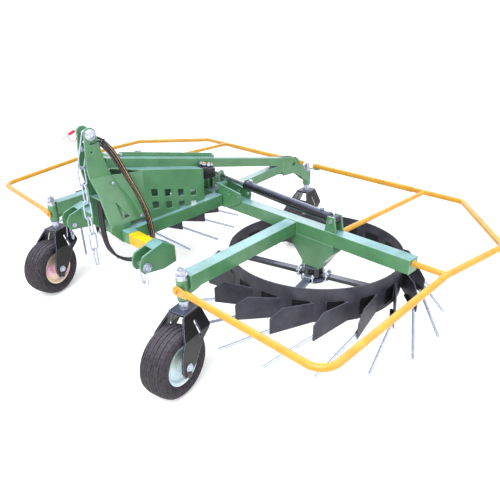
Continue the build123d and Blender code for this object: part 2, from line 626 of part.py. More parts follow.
# Keep every node's solids, then save them about the middle of the whole rake.
keep("headstock_plates", mast)
keep("hitch_beam", cross)
keep("lower_clevises", clevises)
keep("linkage_pins", pins, top_pin)
keep("frame_tubes", tubes)
keep("side_panels", panels)
keep("top_tube", spine_front)
keep("front_head", head)
keep("hinge_head", hinge_head)
keep("hinge_pins", hinge_pins, inner_pins)
keep("lifting_chain", *chain)
keep("top_pin_clip", clip)
keep("valve_block", valve)
for k, hose in enumerate(soft_hoses):
    keep("hose_" + ("one", "two", "three")[k], hose)
for name, turn in (("right", lambda s: s), ("left", flip)):
    keep(name + "_arm", turn(arm))
    keep(name + "_arm_plates", turn(arm_plates))
    keep(name + "_hub_bracket", turn(bracket))
    keep(name + "_cylinder_pin", turn(cylinder_pins))
    keep(name + "_guard_rail", turn(guard))
    keep(name + "_rotor_hub", turn(hub))
    keep(name + "_paddle_ring", turn(reel))
    keep(name + "_tines", *[turn(t) for t in tines])
    keep(name + "_cylinder_barrel", turn(barrel))
    keep(name + "_cylinder_rod", turn(piston))
for (name, x, y, yaw) in castors:
    at = Pos(x, y, 0) * Rot(0, 0, yaw)
    keep(name + "_castor_fork", at * fork)
    keep(name + "_wheel_rim", at * rim)
    keep(name + "_tyre", at * tyre)


def tyre_ends(y, yaw):
    hub_y = y - trail * cos(radians(yaw))
    reach = max(r * cos(radians(yaw)) + x * sin(radians(yaw)) for x, r in half_tyre)
    return hub_y - reach, hub_y + reach


ends = [end for name, x, y, yaw in castors for end in tyre_ends(y, yaw)]
middle_y = round((min(ends) + max(ends)) / 2, 1)
print("middle_y", middle_y, "ground", ground)
for name in parts:
    save(name, middle_y)
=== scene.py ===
import bpy
import json
import math
from mathutils import Matrix, Vector


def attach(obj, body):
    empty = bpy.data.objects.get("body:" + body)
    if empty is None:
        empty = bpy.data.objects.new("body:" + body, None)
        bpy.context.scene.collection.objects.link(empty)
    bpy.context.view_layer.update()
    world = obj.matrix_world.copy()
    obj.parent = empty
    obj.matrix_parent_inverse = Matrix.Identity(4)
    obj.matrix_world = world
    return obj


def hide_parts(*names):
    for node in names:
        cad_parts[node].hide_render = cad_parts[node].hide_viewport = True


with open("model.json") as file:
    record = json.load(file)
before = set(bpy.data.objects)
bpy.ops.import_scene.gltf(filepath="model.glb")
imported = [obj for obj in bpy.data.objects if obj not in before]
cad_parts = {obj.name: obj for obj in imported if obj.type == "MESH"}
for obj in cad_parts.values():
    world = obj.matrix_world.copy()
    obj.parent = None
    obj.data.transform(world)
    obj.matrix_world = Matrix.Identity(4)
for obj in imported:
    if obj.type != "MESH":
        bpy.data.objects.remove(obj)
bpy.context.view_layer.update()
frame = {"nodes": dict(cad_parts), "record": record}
nodes = frame["nodes"]
print("frame loaded:", len(nodes), "nodes")

# The rake's own lines are measured in mm from the lower link pins, with heights from a level 78 mm under the
# ground. The frame's middle lies 805.3 mm in front of the pins.
pinsToMiddle = 805.3
ground = 78
hands = {"right": 1, "left": -1}


def place(x, y, z):
    return Vector((x, y - pinsToMiddle, z - ground)) / 1000


# Camera: it stands at a place in metres and is turned by angles in degrees.
camera = {"eye": (2.4256, -1.9421, 1.7239), "yaw": 46.5138, "pitch": 25.8169, "roll": -0.9953,
          "lens": 34.9, "sensor": 36, "farClip": 60}


def addCamera():
    yaw, pitch, roll = (math.radians(camera[angle]) for angle in ("yaw", "pitch", "roll"))
    ahead = Vector((-math.sin(yaw) * math.cos(pitch), math.cos(yaw) * math.cos(pitch), -math.sin(pitch)))
    right = Vector((math.cos(yaw), math.sin(yaw), 0))
    up = right.cross(ahead)
    right, up = right * math.cos(roll) + up * math.sin(roll), up * math.cos(roll) - right * math.sin(roll)
    data = bpy.data.cameras.new("camera")
    data.lens = camera["lens"]
    data.sensor_width = camera["sensor"]
    data.clip_end = camera["farClip"]
    obj = bpy.data.objects.new("camera", data)
    facing = Matrix((right, up, -ahead)).transposed().to_4x4()
    obj.matrix_world = Matrix.Translation(camera["eye"]) @ facing
    bpy.context.collection.objects.link(obj)
    bpy.context.scene.camera = obj


# Adds a node. Each input takes a value or the socket that feeds it, and fields are the node's own settings.
def addNode(tree, kind, inputs=None, stops=None, **fields):
    made = tree.nodes.new(kind)
    for key, value in fields.items():
        setattr(made, key, value)
    for key, value in (inputs or {}).items():
        if isinstance(value, bpy.types.NodeSocket):
            tree.links.new(value, made.inputs[key])
        else:
            made.inputs[key].default_value = value
    if stops:
        for stop, (at, colour) in zip(made.color_ramp.elements, stops):
            stop.position = at
            stop.color = colour
    return made


# Hex codes are sRGB, and the sockets take linear light.
def linear(code):
    values = [int(code[k:k + 2], 16) / 255 for k in (1, 3, 5)]
    return tuple(v / 12.92 if v < 0.04045 else ((v + 0.055) / 1.055) ** 2.4 for v in values) + (1.0,)


# Light: a pale sky all round and three wide lamps that look at the rake's middle. Lengths are in metres.
studio = {"sky": "#FBFDFF", "strength": 0.72, "middle": (0, 0, 0.4)}
lamps = {"key": {"at": (1.6, -3.6, 4.6), "size": 4.5, "power": 330},
         "fill": {"at": (5.0, 0.6, 2.4), "size": 3.5, "power": 70},
         "rim": {"at": (-3.0, 3.4, 3.6), "size": 3.5, "power": 80}}


def addLight():
    scene = bpy.context.scene
    scene.view_settings.view_transform = "Standard"
    world = bpy.data.worlds.new("studio")
    scene.world = world
    world.use_nodes = True
    sky = world.node_tree.nodes["Background"].inputs
    sky["Color"].default_value = linear(studio["sky"])
    sky["Strength"].default_value = studio["strength"]
    for name, lamp in lamps.items():
        data = bpy.data.lights.new(name, "AREA")
        data.energy = lamp["power"]
        data.size = lamp["size"]
        obj = bpy.data.objects.new(name, data)
        obj.location = lamp["at"]
        toMiddle = Vector(studio["middle"]) - Vector(lamp["at"])
        obj.rotation_euler = toMiddle.to_track_quat("-Z", "Y").to_euler()
        bpy.context.collection.objects.link(obj)


# Floor: a round sheet of matt paper that curves up at its rim, so that no horizon shows. Each bend says how
# much wider the rim gets and how far it rises, in metres. The paper glows a little, so that it stays white
# while the light on the rake keeps its contrast.
paper = {"radius": 26, "sides": 96, "level": -0.001, "bends": ((1.06, 0.4), (1.06, 1.6), (1.03, 12.0)),
         "colour": "#FCFCFC", "roughness": 0.9, "glow": 0.28}


def addFloor():
    bpy.ops.object.select_all(action="DESELECT")
    bpy.ops.mesh.primitive_circle_add(vertices=paper["sides"], radius=paper["radius"], fill_type="NGON",
                                      location=(0, 0, paper["level"]))
    floor = bpy.context.object
    floor.name = "studio_floor"
    bpy.ops.object.mode_set(mode="EDIT")
    bpy.ops.mesh.select_mode(type="EDGE")
    for wider, rise in paper["bends"]:
        bpy.ops.mesh.extrude_edges_move(TRANSFORM_OT_translate={"value": (0, 0, rise)})
        bpy.ops.transform.resize(value=(wider, wider, 1), center_override=(0, 0, 0))
    bpy.ops.object.mode_set(mode="OBJECT")
    coated = bpy.data.materials.new("matt studio paper")
    coated.use_nodes = True
    shader = coated.node_tree.nodes["Principled BSDF"].inputs
    shader["Base Color"].default_value = linear(paper["colour"])
    shader["Roughness"].default_value = paper["roughness"]
    shader["Emission Color"].default_value = linear(paper["colour"])
    shader["Emission Strength"].default_value = paper["glow"]
    floor.data.materials.append(coated)


addCamera()
addLight()
addFloor()
print("camera, floor and light")

# Materials. The colour wanders between base and patches in clouds of patchSize, and grain is the size of the
# fine relief. Sky is a painted reflection of the sky on the faces that look up, and edge a painted highlight
# along the rounded edges, over edgeWidth. Sizes and depths are in mm. Spray texture is really 1 to 2 mm
# across, but a pixel covers 5 to 8 mm here, so grain is drawn as coarse as it needs to show. A metal keeps
# the default IOR.
lookingUp = {"from": 0.55, "full": 0.97, "thinAt": 0.35, "thickAt": 0.6, "thin": 0.55}
roundedEdge = {"from": 0.99, "full": 0.8, "samples": 4}
roughSpread = {"least": 0.8, "most": 1.25}
reliefDepth = 1.0
coatRoughness = 0.12


# Light of the sky on the faces that look up, thinner in some places than in others.
def tintBySky(tree, colour, cloud, facing, sky, share):
    split = addNode(tree, "ShaderNodeSeparateXYZ", {"Vector": facing})
    lying = addNode(tree, "ShaderNodeMapRange", {
        "Value": split.outputs["Z"], "From Min": lookingUp["from"], "From Max": lookingUp["full"],
        "To Min": 0.0, "To Max": share})
    uneven = addNode(tree, "ShaderNodeMapRange", {
        "Value": cloud, "From Min": lookingUp["thinAt"], "From Max": lookingUp["thickAt"],
        "To Min": lookingUp["thin"], "To Max": 1.0})
    both = addNode(tree, "ShaderNodeMath", {0: lying.outputs["Result"], 1: uneven.outputs["Result"]},
                   operation="MULTIPLY")
    mixed = addNode(tree, "ShaderNodeMix", {0: both.outputs["Value"], 6: colour, 7: linear(sky)},
                    data_type="RGBA")
    return mixed.outputs[2]


# A painted highlight: a lighter line where the rounded normal leaves the face's own.
def tintEdges(tree, colour, rounded, facing, edge, share):
    across = addNode(tree, "ShaderNodeVectorMath", {0: rounded, 1: facing}, operation="DOT_PRODUCT")
    edgeHighlight = addNode(tree, "ShaderNodeMapRange", {
        "Value": across.outputs["Value"], "From Min": roundedEdge["from"], "From Max": roundedEdge["full"],
        "To Min": 0.0, "To Max": share})
    mixed = addNode(tree, "ShaderNodeMix", {0: edgeHighlight.outputs["Result"], 6: colour, 7: linear(edge)},
                    data_type="RGBA")
    return mixed.outputs[2]


# Plate above a height in mm over the ground, on a piece that is enamelled below it.
def platedAbove(tree, colour, spot, shader, plate):
    height = addNode(tree, "ShaderNodeSeparateXYZ", {"Vector": spot})
    above = addNode(tree, "ShaderNodeMath", {0: height.outputs["Z"], 1: plate["above"] / 1000},
                    operation="GREATER_THAN")
    metal = addNode(tree, "ShaderNodeMath", {0: above.outputs["Value"], 1: plate["metallic"]},
                    operation="MULTIPLY")
    tree.links.new(metal.outputs["Value"], shader.inputs["Metallic"])
    mixed = addNode(tree, "ShaderNodeMix", {
        0: above.outputs["Value"], 6: colour, 7: linear(plate["colour"])}, data_type="RGBA")
    return mixed.outputs[2]


def newMaterial(name, base, patches, roughness, metallic=0.0, patchSize=80, contrast=0.25, grain=10,
                bump=0.0, shine=0.5, coat=0.0, sky=None, skyShare=0.0, edge=None, edgeShare=0.0,
                edgeWidth=0.0, plated=None):
    made = bpy.data.materials.new(name)
    made.use_nodes = True
    tree = made.node_tree
    shader = tree.nodes["Principled BSDF"]
    shader.inputs["Metallic"].default_value = metallic
    shader.inputs["Specular IOR Level"].default_value = shine
    spot = addNode(tree, "ShaderNodeTexCoord").outputs["Object"]
    facing = addNode(tree, "ShaderNodeNewGeometry").outputs["Normal"]
    cloud = addNode(tree, "ShaderNodeTexNoise", {
        "Vector": spot, "Scale": 1000 / patchSize, "Detail": 5.0, "Roughness": 0.6}).outputs["Fac"]
    speckle = addNode(tree, "ShaderNodeTexNoise", {
        "Vector": spot, "Scale": 1000 / grain, "Detail": 3.0}).outputs["Fac"]
    colour = addNode(tree, "ShaderNodeValToRGB", {"Fac": cloud}, stops=[
        (0.5 - contrast, linear(base)), (0.5 + contrast, linear(patches))]).outputs["Color"]
    if sky:
        colour = tintBySky(tree, colour, cloud, facing, sky, skyShare)
    normal = None
    if edgeWidth:
        rounded = addNode(tree, "ShaderNodeBevel", {"Radius": edgeWidth / 1000},
                          samples=roundedEdge["samples"])
        normal = rounded.outputs["Normal"]
        colour = tintEdges(tree, colour, normal, facing, edge, edgeShare)
    if plated:
        colour = platedAbove(tree, colour, spot, shader, plated)
    tree.links.new(colour, shader.inputs["Base Color"])
    gloss = addNode(tree, "ShaderNodeMapRange", {
        "Value": speckle, "To Min": roughness * roughSpread["least"],
        "To Max": min(1.0, roughness * roughSpread["most"])})
    tree.links.new(gloss.outputs["Result"], shader.inputs["Roughness"])
    if bump:
        relief = addNode(tree, "ShaderNodeBump", {
            "Height": speckle, "Strength": bump, "Distance": reliefDepth / 1000})
        if normal:
            tree.links.new(normal, relief.inputs["Normal"])
        normal = relief.outputs["Normal"]
    if normal:
        tree.links.new(normal, shader.inputs["Normal"])
    if coat:
        shader.inputs["Coat Weight"].default_value = coat
        shader.inputs["Coat Roughness"].default_value = coatRoughness
    return made


# Green enamel is sprayed on tube and plate and baked: an even gloss, with a painted pale blue reflection of
# the sky on the faces that look up and a painted highlight, a light line, along each rounded edge.
greenEnamel = newMaterial(
    "baked green enamel", "#3C6C48", "#4E8259", 0.34, patchSize=120, grain=6, bump=0.05, coat=0.3,
    sky="#90BCCC", skyShare=0.8, edge="#8CCB9A", edgeShare=0.7, edgeWidth=5)
# The rails have the same enamel in ochre, with a painted straw-coloured reflection of the sky on top.
yellowEnamel = newMaterial(
    "baked yellow enamel", "#BC7E0C", "#CC961C", 0.36, grain=6, bump=0.05, coat=0.3,
    sky="#E8C45C", skyShare=0.55)
# Vinyl film is rolled to one thickness and stuck on: flatter and duller than the enamel beside it, with a
# painted pale yellow reflection of the sky on top.
labelYellow = newMaterial(
    "yellow vinyl film", "#E89A08", "#F0AC18", 0.42, patchSize=50, grain=4, bump=0.04,
    sky="#E2DA10", skyShare=0.95)
# Chassis enamel is sprayed thick: nearly black, with a painted slate-blue reflection of the sky on top and a
# painted highlight along the edges.
blackEnamel = newMaterial(
    "black chassis enamel", "#08080B", "#15141A", 0.26, grain=5, bump=0.06, shine=0.4, coat=0.3,
    sky="#6C7290", skyShare=0.75, edge="#8C92B4", edgeShare=0.8, edgeWidth=4)
# The forks have it thinner and rougher, with the same painted sky reflection on top and painted highlight
# along the edges, and their spindles and nuts stand out of it in bright zinc plate.
forkEnamel = newMaterial(
    "black fork enamel with plated spindle", "#08080B", "#1B1718", 0.3, patchSize=50, grain=5, bump=0.12,
    shine=0.3, coat=0.08, sky="#50566E", skyShare=0.6, edge="#9AA0C4", edgeShare=0.85, edgeWidth=5,
    plated={"above": 436.5, "colour": "#B4B8C8", "metallic": 0.8})
# Thin sheet is rolled and dipped in dull lacquer: grey clouds where it ran, a painted grey reflection of the
# sky on top, and a painted pale highlight along the edges.
rotorSteel = newMaterial(
    "dull lacquered sheet steel", "#23252F", "#3C3A43", 0.48, patchSize=100, contrast=0.16, grain=12,
    bump=0.15, shine=0.3, sky="#60626F", skyShare=0.6, edge="#8A8EA4", edgeShare=0.7, edgeWidth=3)
# Spring steel is dipped in molten zinc, which freezes in spangles: dull silver in cool and pale flecks.
galvanised = newMaterial(
    "hot-dip galvanised spring steel", "#949EB8", "#CCD4E8", 0.38, metallic=0.7, patchSize=12)
# Zinc is plated on nuts and pins in a bright bath: a soft mirror, with a painted white highlight along its
# edges.
brightZinc = newMaterial(
    "bright zinc plate", "#9CA2B2", "#C8D0E0", 0.28, metallic=0.8, patchSize=12, contrast=0.18,
    edge="#FFFFFF", edgeShare=0.5, edgeWidth=2)
# A chromate dip over zinc leaves a film that turns from straw to pink, and the blue dip a pale, cool one.
# Both have a painted pale reflection of the sky on top.
chromateZinc = newMaterial(
    "chromate-passivated zinc", "#E4DCA4", "#DCA8C0", 0.3, metallic=0.45, patchSize=110, contrast=0.12,
    sky="#D8E6F8", skyShare=0.7)
blueZinc = newMaterial(
    "blue-passivated zinc", "#B0C8DA", "#CCD8CC", 0.3, metallic=0.3, patchSize=130, contrast=0.2,
    sky="#D8E6F8", skyShare=0.7)
# Tyres are moulded from rubber with soot in it: matt and dark, with dust in the tread and speckled walls, a
# painted reflection of the sky on top and a painted highlight along the edges.
tyreRubber = newMaterial(
    "carbon-black tyre rubber", "#121116", "#403B42", 0.72, patchSize=14, contrast=0.2, grain=4, bump=0.45,
    shine=0.25, sky="#6A6672", skyShare=0.55, edge="#A09AA6", edgeShare=0.5, edgeWidth=3)
# A hose's braid is wrapped in a smooth rubber skin: black, with a low gloss and a painted grey reflection of
# the sky along its upper side.
hoseRubber = newMaterial(
    "braided hose rubber", "#0C0C10", "#26252C", 0.36, patchSize=20, grain=3, bump=0.2, shine=0.4,
    sky="#5A5A68", skyShare=0.6)
# Seals and sleeves are moulded in plain rubber, which stays flat black; the same flat black draws the
# painted shade sheets in the rotor windows.
sealRubber = newMaterial(
    "moulded seal rubber", "#0A0A0C", "#16161A", 0.6, patchSize=20, grain=3, bump=0.1, shine=0.3)
# Vinyl is dipped over wire in a thick red coat with a soft gloss.
redGrip = newMaterial("dipped red vinyl", "#C80A28", "#D82440", 0.35, patchSize=20)
# Rods are plated with hard chrome and ground: a clean mirror.
rodChrome = newMaterial("hard chrome", "#B0B4BE", "#C4C8D0", 0.12, metallic=1.0, patchSize=50)
# Brass is turned on a lathe: warm, bright and slightly uneven.
brass = newMaterial("turned brass", "#C48C34", "#DCB464", 0.3, metallic=0.8, patchSize=20)
# The hoses' lines are rolled on with ink: matt and pale, with thin places. The same ink draws the third
# hose's wider line, a painted highlight along the bundle's right edge.
printInkAndHighlight = newMaterial("printed hose line and painted highlight", "#D89858", "#F0C890", 0.6, patchSize=12)

finishes = {"green_enamel": greenEnamel, "yellow_enamel": yellowEnamel, "black_enamel": blackEnamel,
            "rotor_rubber": rotorSteel, "galvanised": galvanised, "zinc_plate": brightZinc,
            "tyre_rubber": tyreRubber, "hose_rubber": hoseRubber, "red_plastic": redGrip,
            "rod_chrome": rodChrome}
# Nodes with a finish of their own, and the slots that such finishes refine.
ownFinish = {"right_castor_fork": forkEnamel, "left_castor_fork": forkEnamel,
             "front_castor_fork": forkEnamel, "right_wheel_rim": blueZinc, "left_wheel_rim": chromateZinc,
             "front_wheel_rim": chromateZinc}
slotOf = {material.name: slot for slot, material in finishes.items()}
slotOf.update({forkEnamel.name: "black_enamel", labelYellow.name: "yellow_enamel",
               chromateZinc.name: "zinc_plate", blueZinc.name: "zinc_plate", brass.name: "zinc_plate",
               sealRubber.name: "hose_rubber", printInkAndHighlight.name: "hose_rubber"})
for subpart in frame["record"]["subparts"]:
    mesh = nodes[subpart["node"]].data
    mesh.materials.clear()
    mesh.materials.append(ownFinish.get(subpart["node"], finishes[subpart["material_slot"]]))
print("materials:", len(finishes))


# Tools for the fittings. Lengths are in mm, and a piece is grown along +z at the origin before it is seated.
# Edges that turn by more than creaseAngle, in degrees, are rounded off and stay sharp in the shading.
creaseAngle = 35


def pick(*pieces):
    bpy.ops.object.select_all(action="DESELECT")
    for piece in pieces:
        piece.select_set(True)
    bpy.context.view_layer.objects.active = pieces[0]


# A turned piece. Steps are (radius, height) from the foot up, and six segments make a nut or a bolt head.
def turned(steps, segments=32):
    bpy.ops.object.select_all(action="DESELECT")
    radius, height = steps[0]
    bpy.ops.mesh.primitive_circle_add(vertices=segments, radius=radius / 1000, fill_type="NGON",
                                      location=(0, 0, height / 1000))
    piece = bpy.context.object
    bpy.ops.object.transform_apply(location=True)
    bpy.ops.object.mode_set(mode="EDIT")
    bpy.ops.mesh.select_mode(type="FACE")
    bpy.ops.mesh.select_all(action="SELECT")
    for wide, high in steps[1:]:
        bpy.ops.mesh.extrude_region_move(TRANSFORM_OT_translate={"value": (0, 0, (high - height) / 1000)})
        bpy.ops.transform.resize(value=(wide / radius, wide / radius, 1),
                                 center_override=(0, 0, high / 1000))
        radius, height = wide, high
    bpy.ops.mesh.select_all(action="SELECT")
    bpy.ops.mesh.normals_make_consistent(inside=False)
    bpy.ops.object.mode_set(mode="OBJECT")
    return piece


# A plate that stands on the origin, its top narrowed by taper, with rounded edges.
def slab(width, depth, height, taper=1.0, edge=0.8):
    bpy.ops.object.select_all(action="DESELECT")
    bpy.ops.mesh.primitive_cube_add(size=1, location=(0, 0, height / 2000),
                                    scale=(width / 1000, depth / 1000, height / 1000))
    piece = bpy.context.object
    bpy.ops.object.transform_apply(location=True, scale=True)
    bpy.ops.object.mode_set(mode="EDIT")
    bpy.ops.mesh.select_all(action="DESELECT")
    bpy.ops.object.mode_set(mode="OBJECT")
    for face in piece.data.polygons:
        face.select = face.normal.z > 0.9
    bpy.ops.object.mode_set(mode="EDIT")
    bpy.ops.mesh.select_mode(type="FACE")
    bpy.ops.transform.resize(value=(taper, 1, 1), center_override=(0, 0, height / 1000))
    bpy.ops.object.mode_set(mode="OBJECT")
    roundOff(piece, edge)
    return piece


def roundOff(piece, width):
    soft = piece.modifiers.new("edge", "BEVEL")
    soft.width = width / 1000
    soft.segments = 2
    soft.limit_method = "ANGLE"
    soft.angle_limit = math.radians(creaseAngle)
    pick(piece)
    bpy.ops.object.modifier_apply(modifier=soft.name)


# A ring of round stock, drawn out along x by stretch.
def ring(radius, thick, stretch=1.0, segments=20):
    bpy.ops.object.select_all(action="DESELECT")
    bpy.ops.mesh.primitive_torus_add(major_radius=radius / 1000, minor_radius=thick / 1000,
                                     major_segments=segments, minor_segments=8)
    piece = bpy.context.object
    bpy.ops.object.mode_set(mode="EDIT")
    bpy.ops.mesh.select_all(action="SELECT")
    bpy.ops.transform.resize(value=(stretch, 1, 1))
    bpy.ops.object.mode_set(mode="OBJECT")
    return piece


# Round stock along one smooth curve, with points in the rake's own mm.
def smoothLine(name, points, diameter, roundness, smoothness, closed=False):
    curve = bpy.data.curves.new(name, "CURVE")
    curve.dimensions = "3D"
    curve.bevel_depth = diameter / 2000
    curve.bevel_resolution = roundness
    curve.use_fill_caps = True
    line = curve.splines.new("NURBS")
    line.points.add(len(points) - 1)
    for point, at in zip(line.points, points):
        point.co = (*place(*at), 1)
    line.order_u = 3
    line.use_endpoint_u = not closed
    line.use_cyclic_u = closed
    curve.resolution_u = smoothness
    piece = bpy.data.objects.new(name, curve)
    bpy.context.collection.objects.link(piece)
    return piece


# A bent wire, a printed line or a weld bead, as a mesh.
def wire(points, diameter, closed=False):
    pick(smoothLine("wire", points, diameter, roundness=3, smoothness=8, closed=closed))
    bpy.ops.object.convert(target="MESH")
    return bpy.context.object


# Moves a piece by a length in metres, with its z axis turned to direction.
def moved(piece, by, direction=(0, 0, 1), turn=0.0):
    aim = Vector(direction).to_track_quat("Z", "Y").to_matrix().to_4x4()
    piece.data.transform(Matrix.Translation(by) @ aim @ Matrix.Rotation(math.radians(turn), 4, "Z"))
    return piece


def seat(piece, at, direction=(0, 0, 1), turn=0.0):
    return moved(piece, place(*at), direction, turn)


def copyOf(piece):
    twin = piece.copy()
    twin.data = piece.data.copy()
    bpy.context.collection.objects.link(twin)
    return twin


def joined(*pieces):
    pick(*pieces)
    bpy.ops.object.join()
    return bpy.context.object


# Puts away the pieces that were only copied from.
def putAway(*patterns):
    for pattern in patterns:
        bpy.data.objects.remove(pattern)


def finish(piece, name, material, body):
    piece.name = name
    pick(piece)
    bpy.ops.object.shade_smooth_by_angle(angle=math.radians(creaseAngle))
    piece.data.materials.clear()
    piece.data.materials.append(material)
    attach(piece, body)


# Lifting hoses: the same points as the CAD route, as the control points of one smooth curve each. The
# diameter and the lengths are in metres. Each upper point is the first hose's, with the step from there to
# each next hose.
hoses = {"diameter": 0.014, "lengths": (1.300, 1.324, 1.349), "spacing": 20, "roundness": 6,
         "smoothness": 24}
upperBend = [
    ((-19.5, 58.5, 1197), (4.5, 0, 17)), ((1.5, 60, 1197), (7.5, 0.5, 17)), ((22, 64, 1192), (10.5, 1, 16)),
    ((39.5, 69.5, 1182.5), (13.5, 1.5, 14.5)), ((54.5, 76.5, 1168), (15.5, 2.5, 12.5)),
    ((66, 85, 1149.5), (17.5, 4, 9.5)), ((76, 99, 1117), (18.5, 5, 6)), ((93, 127, 1052), (20, 3, 0))]
hanging = [
    (113, 159, 974), (134, 189, 886), (149, 212, 785), (155, 221, 690), (154.5, 219.5, 615.2),
    (133.7, 191.5, 554.8), (97.7, 143, 520), (56.3, 87, 520), (20.3, 38.5, 554.8), (-0.5, 10.5, 615.2),
    (-12, 6.5, 715), (-19, 9, 812), (-20, 18, 899.2)]
# Printed lines: from one point of a hose's middle line to another, set to the right of it and back, in mm.
# The third width is drawn wide, as a painted highlight along the bundle's right edge.
printAndHighlightLine = {"first": 60, "last": 300, "every": 6, "right": 6, "back": 3.2, "widths": (0.6, 0.8, 1.7)}


def hoseRoute(k):
    bend = [tuple(at + k * step for at, step in zip(*point)) for point in upperBend]
    return bend + [(x + hoses["spacing"] * k, y, z) for x, y, z in hanging]


# The line lies along the outer side of the bend, beside points read from the hose's own curve, unbevelled.
def addPrintAndHighlightLine(hose, name, width):
    bare = hose.data.copy()
    bare.bevel_depth = 0
    probe = bpy.data.objects.new("hose_middle", bare)
    middle = [vertex.co.copy() for vertex in bpy.data.meshes.new_from_object(probe).vertices]
    bpy.data.objects.remove(probe)
    printed = middle[printAndHighlightLine["first"]:printAndHighlightLine["last"]:printAndHighlightLine["every"]]
    beside = [(point.x * 1000 + printAndHighlightLine["right"], point.y * 1000 + pinsToMiddle - printAndHighlightLine["back"],
               point.z * 1000 + ground) for point in printed]
    line = wire(beside, width)
    finish(line, "print_and_highlight_line_" + name, printInkAndHighlight, "frame")
    return line


def addHoses():
    for k, name in enumerate(("one", "two", "three")):
        route = hoseRoute(k)
        hose = smoothLine("lifting_hose_" + name, route, hoses["diameter"] * 1000, hoses["roundness"],
                          hoses["smoothness"])
        hose.data.materials.append(hoseRubber)
        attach(hose, "frame")
        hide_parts("hose_" + name)
        line = addPrintAndHighlightLine(hose, name, printAndHighlightLine["widths"][k])


addHoses()
print("hoses")

# Castors: where each stands, as in the CAD, and the degrees that it is turned. The axle trails the spindle.
castors = {"right": {"at": (728, 21), "turned": 14}, "left": {"at": (-728, 21), "turned": 22},
           "front": {"at": (0, 1810), "turned": 8}}
axle = {"trail": 112, "height": 261, "legFace": 97.5, "discFace": 52.2}
axleEnds = {"outer": 1, "inner": -1}


# A point that is given across and along the castor, as it stands in the rake.
def onCastor(side, across, along, height):
    x, y = castors[side]["at"]
    turn = math.radians(castors[side]["turned"])
    return (x + across * math.cos(turn) - along * math.sin(turn),
            y + across * math.sin(turn) + along * math.cos(turn), height)


def outFrom(side, hand):
    turn = math.radians(castors[side]["turned"])
    return hand * math.cos(turn), hand * math.sin(turn), 0


# Sleeve: a rubber seal under it, a plated cap over it, and the spindle's tip above the nut.
sleeveSeal = [(25.3, 560.5), (29.8, 561), (30.4, 563), (30.4, 565.6), (25.3, 565.8)]
sleeveCap = [(26.6, 674.5), (30.6, 674.6), (30.6, 678.6), (26.6, 680), (26.6, 694.6), (29.0, 695.2),
             (29.0, 698.6), (20, 699.4)]
spindleTip = [(15.5, 724.2), (15.5, 727), (12, 728), (12, 733), (9.5, 734.6)]


def addSleeveRings():
    for steps, segments, name, material in ((sleeveSeal, 40, "_sleeve_seal", sealRubber),
                                            (sleeveCap, 40, "_sleeve_cap", brightZinc),
                                            (spindleTip, 24, "_spindle_tip", brightZinc)):
        pattern = turned(steps, segments)
        for side in castors:
            piece = seat(copyOf(pattern), onCastor(side, 0, 0, 0))
            finish(piece, side + name, material, side + "_castor")
        putAway(pattern)


# Axle end: a washer, a nut and the axle's own tip, outwards from the fork's leg.
axleNut = {"washer": [(21.4, 0.2), (21.4, 4.8), (18, 5.2)], "nut": [(17.4, 4.6), (17.4, 13.4), (15.4, 15.2)],
           "tip": [(8, 15), (8, 17.4), (6.6, 18.4)]}


def addAxleNuts():
    pattern = joined(turned(axleNut["washer"]), turned(axleNut["nut"], segments=6),
                     turned(axleNut["tip"], segments=20))
    for side in castors:
        for end, hand in axleEnds.items():
            at = onCastor(side, hand * axle["legFace"], -axle["trail"], axle["height"])
            finish(seat(copyOf(pattern), at, outFrom(side, hand)), side + "_axle_nut_" + end, brightZinc,
                   side + "_castor")
    putAway(pattern)


# Axle keeper: a tapered plate that hangs over each axle end, held by one bolt.
axleKeeper = {"size": (40, 6, 42), "taper": 0.6, "bolt": [(9.5, 0), (9.5, 5), (7.5, 6.4)], "boltHeight": 14,
              "gap": 0.2, "back": 2, "drop": 16}


def addAxleKeepers():
    half = axleKeeper["size"][1] / 2
    boltAt = Vector((0, -half, axleKeeper["boltHeight"])) / 1000
    bolt = moved(turned(axleKeeper["bolt"], segments=6), boltAt, (0, -1, 0))
    pattern = joined(slab(*axleKeeper["size"], taper=axleKeeper["taper"]), bolt)
    pattern.data.transform(Matrix.Rotation(math.pi, 4, "Y"))
    for side, castor in castors.items():
        for end, hand in axleEnds.items():
            across = hand * (axle["legFace"] + half + axleKeeper["gap"])
            at = onCastor(side, across, -axle["trail"] - axleKeeper["back"],
                          axle["height"] - axleKeeper["drop"])
            keeper = seat(copyOf(pattern), at, turn=castor["turned"] + 90 * hand)
            finish(keeper, side + "_axle_keeper_" + end, forkEnamel, side + "_castor")
    putAway(pattern)


# Hub boss: a turned cone on each side of the rim's disc, in the rim's own finish.
hubBoss = [(39, 0), (39, 4.5), (35.4, 7), (33.6, 24), (31, 26.6)]


def addHubBosses():
    pattern = turned(hubBoss, segments=40)
    for side in castors:
        for end, hand in axleEnds.items():
            at = onCastor(side, hand * axle["discFace"], -axle["trail"], axle["height"])
            finish(seat(copyOf(pattern), at, outFrom(side, hand)), side + "_hub_boss_" + end,
                   ownFinish[side + "_wheel_rim"], side + "_wheel")
    putAway(pattern)


addSleeveRings()
addAxleNuts()
addAxleKeepers()
addHubBosses()
print("castor fittings")

# Lower link pins: a stepped washer on each outer face, and a linch pin through the pin's end beyond it. What
# stands further out is counted from the face.
linkPin = {"face": 454.5, "height": 640,
           "washer": [(27.2, 0.2), (27.2, 6.4), (24, 7.4), (15, 7.6), (15, 13.5), (13, 15)]}
linchPin = {"ring": (19.5, 2.1), "ringOut": 10.2, "ringLean": (-0.12, 0.05),
            "stem": [(4.2, -25), (4.2, 21), (3, 23)], "stemOut": 11.5,
            "tail": ((12, -6, 622), (15, -10, 600), (17, -12, 568), (18, -15, 530)), "tailWire": 4.4}


